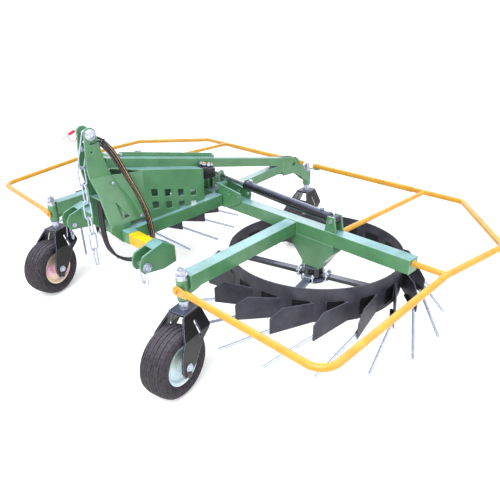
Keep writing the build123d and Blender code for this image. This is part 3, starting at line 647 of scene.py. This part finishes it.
def addLinkPinHeads():
    pattern = turned(linkPin["washer"], segments=40)
    for side, hand in hands.items():
        at = (hand * linkPin["face"], 0, linkPin["height"])
        finish(seat(copyOf(pattern), at, (hand, 0, 0)), side + "_link_pin_head", brightZinc, "frame")
    putAway(pattern)


def addLinchPins():
    loop = ring(*linchPin["ring"])
    stem = turned(linchPin["stem"], segments=16)
    for side, hand in hands.items():
        face = hand * linkPin["face"]
        loopHere = seat(copyOf(loop), (face + hand * linchPin["ringOut"], 0, linkPin["height"]),
                        (hand, *linchPin["ringLean"]))
        stemHere = seat(copyOf(stem), (face + hand * linchPin["stemOut"], 0, linkPin["height"]))
        tail = wire([(face + hand * out, y, z) for out, y, z in linchPin["tail"]], linchPin["tailWire"])
        finish(joined(loopHere, stemHere, tail), side + "_linch_pin", galvanised, "frame")
    putAway(loop, stem)


# Linch chain: it hangs between the clevis plates, low in the middle, with every other link on edge.
linchChain = {"links": 17, "link": (4.6, 1.3), "stretch": 1.5, "inside": 70, "run": 56, "y": -4, "low": 532,
              "rise": 90}


def addLinchChains():
    link = ring(*linchChain["link"], stretch=linchChain["stretch"], segments=12)
    for side, hand in hands.items():
        links = []
        for k in range(linchChain["links"]):
            t = (k + 0.5) / linchChain["links"] * 2 - 1
            x = hand * (linkPin["face"] - linchChain["inside"] + linchChain["run"] * (t + 1) / 2)
            z = linchChain["low"] + linchChain["rise"] * t * t
            slope = Vector((hand * linchChain["run"] / 2, 0, 2 * linchChain["rise"] * t))
            toward = slope.to_track_quat("X", "Z").to_matrix().to_4x4()
            onEdge = Matrix.Rotation(math.pi / 2 * (k % 2), 4, "X")
            links.append(copyOf(link))
            links[-1].data.transform(Matrix.Translation(place(x, linchChain["y"], z)) @ toward @ onEdge)
        finish(joined(*links), side + "_linch_chain", galvanised, "frame")
    putAway(link)


# Beam band: a film wrapped once round the hitch beam, which is 60 mm square.
beamBand = {"from": 188, "to": 368, "wrap": 62.4, "y": 96, "foot": 665.8, "edge": 1.6}


def addBeamBand():
    band = slab(beamBand["to"] - beamBand["from"], beamBand["wrap"], beamBand["wrap"], edge=beamBand["edge"])
    middle = (beamBand["from"] + beamBand["to"]) / 2
    finish(seat(band, (middle, beamBand["y"], beamBand["foot"])), "beam_band", labelYellow, "frame")


# Top link pin: a broad head on the right and a washer on the left.
topPin = {"reach": 45, "height": 1262,
          "head": [(29.5, 0.2), (29.5, 4.6), (22.6, 5), (22.6, 8.6), (19.6, 10), (9, 10.2), (8, 9)],
          "washer": [(25, 0.2), (25, 4.4), (22, 5.2), (16.2, 5.4), (16.2, 13), (13.2, 14)]}


def addTopPinEnds():
    head = seat(turned(topPin["head"], segments=48), (topPin["reach"], 0, topPin["height"]), (1, 0, 0))
    finish(head, "top_pin_head", brightZinc, "frame")
    washer = seat(turned(topPin["washer"], segments=40), (-topPin["reach"], 0, topPin["height"]), (-1, 0, 0))
    finish(washer, "top_pin_washer", brightZinc, "frame")


# Top pin clip: a bent spring wire with a dipped grip, and a coated wire that keeps it from falling.
pinClip = {"x": -75, "wire": 6.4, "keepingWire": 3.8,
           "bends": ((46, 1246), (24, 1253.6), (0, 1262), (-22, 1269.5), (-34, 1266), (-60, 1255),
                     (-98, 1239)),
           "grip": [(5, 0), (7.4, 2), (7.4, 36), (5, 39)], "gripAt": (-75, -61, 1254.6),
           "gripAlong": (0, 0.925, 0.38)}
keepingRoute = [
    (-75, -66, 1250), (-77, -62, 1232), (-78, -50, 1216), (-76, -36, 1212), (-72, -26, 1222),
    (-69, -22, 1240), (-66, -22, 1222), (-64, -24, 1192), (-63, -22, 1168), (-60, -14, 1156),
    (-57, -6, 1166), (-55, 0, 1182)]


def addPinClip():
    clip = wire([(pinClip["x"], y, z) for y, z in pinClip["bends"]], pinClip["wire"])
    finish(clip, "top_pin_clip_wire", galvanised, "frame")
    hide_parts("top_pin_clip")
    grip = seat(turned(pinClip["grip"], segments=24), pinClip["gripAt"], pinClip["gripAlong"])
    finish(grip, "top_pin_clip_grip", redGrip, "frame")
    finish(wire(keepingRoute, pinClip["keepingWire"]), "clip_retaining_wire", redGrip, "frame")


# The plate that joins the lifting chain to the mast.
joiningPlate = {"size": (24, 12, 26), "edge": 1.5, "at": (-4, -34, 1174)}
# The rubber tie that holds the hoses together where they leave the mast.
hoseTie = {"wire": 4.2, "route": [(47, -2, 1214), (54, 12, 1218), (60, 38, 1226), (58, 66, 1232),
                                  (42, 82, 1226), (26, 78, 1206)]}


def addMastTies():
    plate = seat(slab(*joiningPlate["size"], edge=joiningPlate["edge"]), joiningPlate["at"])
    finish(plate, "chain_joining_plate", galvanised, "frame")
    finish(wire(hoseTie["route"], hoseTie["wire"]), "hose_tie", sealRubber, "frame")


addLinkPinHeads()
addLinchPins()
addLinchChains()
addBeamBand()
addTopPinEnds()
addPinClip()
addMastTies()
print("hitch fittings")

# Weld beads, each a loop or a run along the edge where two pieces meet. The arm's tube is 75 mm square.
armWeld = {"tube": 75, "bead": 6, "y": 845, "top": 747, "sunk": 2, "castorX": 728, "castorTop": 692,
           "sleeveY": 46, "lug": (960, 1036), "lugHalf": 36, "lugLift": 0.5, "bracket": (724, 1024),
           "bracketBead": 4}
railWeld = {"ring": (15.6, 2.8), "at": (1472, 845, 720)}
clevisWeld = {"x": 370.5, "y": (66, 126), "z": (667, 727), "bead": 5}


# Each corner is given twice, so that the smooth line keeps close to it.
def twice(corners):
    return [corner for corner in corners for again in (1, 2)]


def tubeLoop(left, right, y, low, high):
    middleX, middleZ = (left + right) / 2, (low + high) / 2
    corners = [(left, low), (left, middleZ), (left, high), (middleX, high), (right, high), (right, middleZ),
               (right, low), (middleX, low)]
    return wire([(x, y, z) for x, z in twice(corners)], armWeld["bead"], closed=True)


def straightRun(hand, ends, y, z, bead):
    start, end = ends
    return wire([(hand * x, y, z) for x in (start, (start + end) / 2, end)], bead)


def addArmWelds():
    half = armWeld["tube"] / 2
    near, far = armWeld["y"] - half, armWeld["y"] + half
    under = armWeld["top"] - armWeld["tube"]
    for side, hand in hands.items():
        left, right = (hand * (armWeld["castorX"] + step) for step in (-half, half))
        beads = [tubeLoop(left, right, near, under - armWeld["sunk"], armWeld["top"] - armWeld["sunk"]),
                 tubeLoop(left, right, armWeld["sleeveY"], armWeld["castorTop"] - armWeld["tube"],
                          armWeld["castorTop"])]
        for step in (-armWeld["lugHalf"], armWeld["lugHalf"]):
            beads.append(straightRun(hand, armWeld["lug"], armWeld["y"] + step,
                                     armWeld["top"] + armWeld["lugLift"], armWeld["bead"]))
        for y in (near, far):
            beads.append(straightRun(hand, armWeld["bracket"], y, under, armWeld["bracketBead"]))
        finish(joined(*beads), side + "_arm_welds", greenEnamel, side + "_arm")


def addRailWelds():
    pattern = ring(*railWeld["ring"], segments=28)
    x, y, z = railWeld["at"]
    for side, hand in hands.items():
        finish(seat(copyOf(pattern), (hand * x, y, z), (hand, 0, 0)), side + "_rail_weld", yellowEnamel,
               side + "_arm")
    putAway(pattern)


def addClevisWelds():
    (back, front), (low, high) = clevisWeld["y"], clevisWeld["z"]
    corners = [(back, low), (back, high), (front, high), (front, low)]
    for side, hand in hands.items():
        loop = wire([(hand * clevisWeld["x"], y, z) for y, z in twice(corners)], clevisWeld["bead"],
                    closed=True)
        finish(loop, side + "_clevis_weld", greenEnamel, "frame")


addArmWelds()
addRailWelds()
addClevisWelds()
print("welds")

# Bolts with a washer: two on each side of the mast, and two on the inner face of the lock bar, which stands
# up along the top tube's left side and falls with it to the front.
boltHead = {"washer": [(9.2, 0.1), (9.2, 1.8), (8.8, 2.2)], "hex": [(7.4, 2), (7.4, 7), (6, 8)]}
mastBolts = {"upper": (65, 80, 989), "lower": (112, 204, 775)}
lockBar = {"x": -30, "boltsY": {"back": 200, "front": 865}, "startY": 60, "startZ": 1137, "fall": 284,
           "run": 1440}


def addBolts():
    pattern = joined(turned(boltHead["washer"], segments=28), turned(boltHead["hex"], segments=6))
    for side, hand in hands.items():
        for level, (x, y, z) in mastBolts.items():
            bolt = seat(copyOf(pattern), (hand * x, y, z), (hand, 0, 0))
            finish(bolt, side + "_mast_bolt_" + level, brightZinc, "frame")
    for name, y in lockBar["boltsY"].items():
        z = lockBar["startZ"] - lockBar["fall"] * (y - lockBar["startY"]) / lockBar["run"]
        bolt = seat(copyOf(pattern), (lockBar["x"], y, z), (1, 0, 0))
        finish(bolt, "lock_bar_bolt_" + name, brightZinc, "frame")
    putAway(pattern)


# Rail rest: the tab on the front head that carries a guard rail's sleeve.
railRest = {"size": (80, 30, 8), "edge": 1.2, "at": (70, 1826, 691)}


def addRailRests():
    pattern = slab(*railRest["size"], edge=railRest["edge"])
    x, y, z = railRest["at"]
    for side, hand in hands.items():
        finish(seat(copyOf(pattern), (hand * x, y, z)), side + "_rail_rest", greenEnamel, "frame")
    putAway(pattern)


# Valve unions: a hex union with a round plug in it on each port, in two columns of three.
valve = {"columns": (46, 72), "rows": ((708, 962), (744, 948), (770, 945)), "turnByRow": 20,
         "union": [(12.6, 0), (12.6, 8), (11.2, 9.4)], "plug": [(7.4, 9), (7.4, 15), (6, 16.6)]}


def addValveUnions():
    union = turned(valve["union"], segments=6)
    plug = turned(valve["plug"], segments=24)
    for column, x in enumerate(valve["columns"]):
        for row, (y, z) in enumerate(valve["rows"]):
            label = "_%d_%d" % (column + 1, row + 1)
            unionHere = seat(copyOf(union), (x, y, z), turn=valve["turnByRow"] * row)
            finish(unionHere, "valve_union" + label, brightZinc, "frame")
            metal = brass if (row + column) % 2 else brightZinc
            finish(seat(copyOf(plug), (x, y, z)), "valve_plug" + label, metal, "frame")
    putAway(union, plug)


addBolts()
addRailRests()
addValveUnions()
print("frame fittings")

# Rotors: what stands on them is modelled round the axis at the origin, from the ring's own turn and count.
rotor = {"x": 874, "y": 845, "tines": 18, "tineTurn": 9.2, "spokes": 4, "spokeTurn": 16}


def aroundRotor(piece, hand, degrees):
    axis = Matrix.Translation(place(hand * rotor["x"], rotor["y"], ground))
    mirror = Matrix.Scale(hand, 4, (1, 0, 0))
    piece.data.transform(axis @ mirror @ Matrix.Rotation(math.radians(degrees), 4, "Z"))
    if hand < 0:
        piece.data.flip_normals()
    return piece


# Joins a copy of the pattern at each of the turns that divide the circle by count.
def allRound(pattern, hand, start, count):
    return joined(*[aroundRotor(copyOf(pattern), hand, start + 360 / count * k) for k in range(count)])


# A place on the rotor, in metres above the ground and from the axis.
def onRotor(out, across, height):
    return Vector((out, across, height - ground)) / 1000


# Window shade sheet: a sheet of the flat black seal rubber closes each window of the ring from inside, as
# painted shade for the dark seen through the windows. It lags behind its tine.
windowShadeSheet = {"size": (1.6, 106, 122), "edge": 0.4, "at": (483, 0, 438), "lag": 7.8}
# Spoke clamp: two plates with a spoke between them, and two studs with nuts through both.
spokeClamp = {"radius": 85, "top": 452, "upper": (70, 26, 7), "gap": 0.2, "lower": (70, 22, 6), "drop": 30,
              "edge": 1.2, "studsAt": (-27, 27), "stud": [(5, -34), (5, 22), (4, 23.4)],
              "nut": [(10, 7), (10, 15.4), (8.6, 16.6)]}
# Tine sleeve: a rubber tube over each tine's root. Its last two steps stop short of its end by the insets.
tineSleeve = {"start": (516.1, -99.5, 432), "end": (559, -203.8, 418), "radii": (9.2, 10, 10, 9), "lip": 2,
              "insets": (14, 2)}


def windowShadeSheetPattern():
    return moved(slab(*windowShadeSheet["size"], edge=windowShadeSheet["edge"]), onRotor(*windowShadeSheet["at"]))


def spokeClampPattern():
    radius, top = spokeClamp["radius"], spokeClamp["top"]
    upper = moved(slab(*spokeClamp["upper"], edge=spokeClamp["edge"]),
                  onRotor(radius, 0, top + spokeClamp["gap"]), turn=90)
    lower = moved(slab(*spokeClamp["lower"], edge=spokeClamp["edge"]),
                  onRotor(radius, 0, top - spokeClamp["drop"]), turn=90)
    stud = turned(spokeClamp["stud"], segments=16)
    nut = turned(spokeClamp["nut"], segments=6)
    bolts = [moved(copyOf(piece), onRotor(radius, across, top)) for across in spokeClamp["studsAt"]
             for piece in (stud, nut)]
    putAway(stud, nut)
    return joined(upper, lower, *bolts)


def tineSleevePattern():
    start, end = Vector(tineSleeve["start"]), Vector(tineSleeve["end"])
    length = (end - start).length
    heights = [0, tineSleeve["lip"]] + [length - inset for inset in tineSleeve["insets"]]
    return moved(turned(list(zip(tineSleeve["radii"], heights)), segments=20), onRotor(*start), end - start)


def addRotorFittings():
    shadeSheet = windowShadeSheetPattern()
    clamp = spokeClampPattern()
    sleeve = tineSleevePattern()
    for side, hand in hands.items():
        body = side + "_rotor"
        shadeSheets = allRound(shadeSheet, hand, rotor["tineTurn"] - windowShadeSheet["lag"], rotor["tines"])
        finish(shadeSheets, side + "_window_shade_sheets", sealRubber, body)
        clamps = allRound(clamp, hand, rotor["spokeTurn"], rotor["spokes"])
        finish(clamps, side + "_spoke_clamps", brightZinc, body)
        sleeves = allRound(sleeve, hand, rotor["tineTurn"], rotor["tines"])
        finish(sleeves, side + "_tine_sleeves", sealRubber, body)
    putAway(shadeSheet, clamp, sleeve)


# Cylinders: the rod's wiper with its lock ring, a collar at the barrel's foot, and a boss with a union on
# each port. Runs are counted along the barrel from its outer eye.
cylinder = {"y": 845, "outerEye": (1000, 812), "innerEye": (58, 866), "length": 690, "radius": 26,
            "lockRing": (28.4, 2.8), "lockBack": 3, "wiper": (21.4, 5.4), "collarRun": 34,
            "portRuns": {"outer": 92, "inner": 650}}
barrelCollar = [(28.3, 0), (31.5, 1.5), (31.5, 20), (28.3, 21.5)]
portBoss = [(12, 0), (12, 6), (10.8, 7)]
portUnion = [(12.4, 6.5), (12.4, 16), (10.8, 17.4)]


def addCylinderFittings():
    lock = ring(*cylinder["lockRing"], segments=40)
    wiper = ring(*cylinder["wiper"], segments=40)
    collar = turned(barrelCollar, segments=40)
    boss = turned(portBoss, segments=28)
    union = turned(portUnion, segments=6)
    (outX, outZ), (inX, inZ) = cylinder["outerEye"], cylinder["innerEye"]
    for side, hand in hands.items():
        body = side + "_barrel"
        eye = Vector((hand * outX, cylinder["y"], outZ))
        along = Vector((hand * (inX - outX), 0, inZ - outZ)).normalized()
        up = Vector((hand * along.z, 0, abs(along.x)))
        lockHere = seat(copyOf(lock), eye + along * (cylinder["length"] - cylinder["lockBack"]), along)
        wiperHere = seat(copyOf(wiper), eye + along * cylinder["length"], along)
        finish(joined(lockHere, wiperHere), side + "_rod_wiper", sealRubber, body)
        collarHere = seat(copyOf(collar), eye + along * cylinder["collarRun"], along)
        finish(collarHere, side + "_barrel_collar", blackEnamel, body)
        for end, run in cylinder["portRuns"].items():
            port = eye + along * run + up * cylinder["radius"]
            finish(seat(copyOf(boss), port, up), side + "_port_boss_" + end, blackEnamel, body)
            finish(seat(copyOf(union), port, up), side + "_port_union_" + end, brightZinc, body)
    putAway(lock, wiper, collar, boss, union)


# Rail sleeve: an outer tube that carries the guard rail on to its rest.
railSleeve = {"from": 60, "to": 915, "y": 1826, "z": 720, "inner": 17.2, "outer": 19.4, "chamfer": 0.6}


def addRailSleeves():
    length = railSleeve["to"] - railSleeve["from"]
    inner, outer, chamfer = railSleeve["inner"], railSleeve["outer"], railSleeve["chamfer"]
    pattern = turned([(inner, 0), (outer, chamfer), (outer, length - chamfer), (inner, length)])
    for side, hand in hands.items():
        at = (hand * railSleeve["from"], railSleeve["y"], railSleeve["z"])
        finish(seat(copyOf(pattern), at, (hand, 0, 0)), side + "_rail_sleeve", yellowEnamel, side + "_arm")
    putAway(pattern)


addRotorFittings()
addCylinderFittings()
addRailSleeves()
print("rotor and arm fittings")
